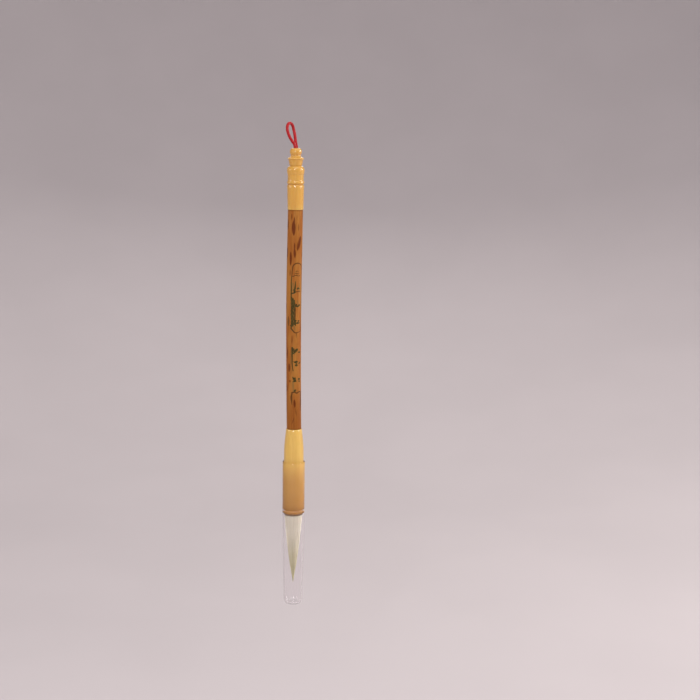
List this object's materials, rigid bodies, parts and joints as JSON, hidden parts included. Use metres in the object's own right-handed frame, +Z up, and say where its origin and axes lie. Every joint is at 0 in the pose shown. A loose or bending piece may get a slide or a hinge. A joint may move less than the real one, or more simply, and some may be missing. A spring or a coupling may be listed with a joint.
{
  "type": "calligraphy brush",
  "caption": "Writing brush with a pointed hair tuft in a turned ferrule, mottled bamboo handle, turned finial with a cord loop, and a clear pull-off cap.",
  "frame": {"origin": "on the handle's axis, where the hanging cord leaves the top of the finial", "axes": "+Z up the handle from the tip to the loop, -Y the side with the engraved scene, +X to its right"},
  "size_m": [0.0131, 0.013, 0.2832],
  "materials": {
    "red_cord": "waxed, glossy",
    "turned_wood": "polished, lacquered",
    "bamboo": "mottled, satin lacquer",
    "glue": "dried, translucent amber",
    "resin": "brittle, glossy",
    "thread": "twisted, matt",
    "core_hair": "straight, silky",
    "white_hair": "straight, silky",
    "clear_plastic": "clear, glossy, thin"
  },
  "bodies": {
    "brush": {"finial": "turned_wood", "finial_glue": "glue", "upper_ferrule": "turned_wood", "handle_top_glue": "glue", "bamboo_handle": "bamboo", "handle_foot_glue": "glue", "lower_ferrule": "turned_wood", "tuft_glue": "glue", "root_resin": "resin", "binding_thread": "thread", "core_hair": "core_hair", "mantle_hair": "white_hair"},
    "cord_end": {"cord_strands": "red_cord", "cord_knot": "red_cord"},
    "loop": {"hanging_loop": "red_cord"},
    "cap": {"clear_cap": "clear_plastic"}
  },
  "joints": [
    {"name": "cap_pull", "type": "slide", "parent": "brush", "child": "cap", "axis": [0, 0, -1], "range_m": [0, 0.085]},
    {"name": "cord_twist", "type": "hinge", "parent": "brush", "child": "cord_end", "pos_m": [0, 0, 0], "axis": [0, 0, 1], "range_deg": [-180, 180]},
    {"name": "loop_swing", "type": "hinge", "parent": "cord_end", "child": "loop", "pos_m": [0, 0, 0.0012], "axis": [0.4226, 0.9063, 0], "range_deg": [-60, 90]}
  ]
}
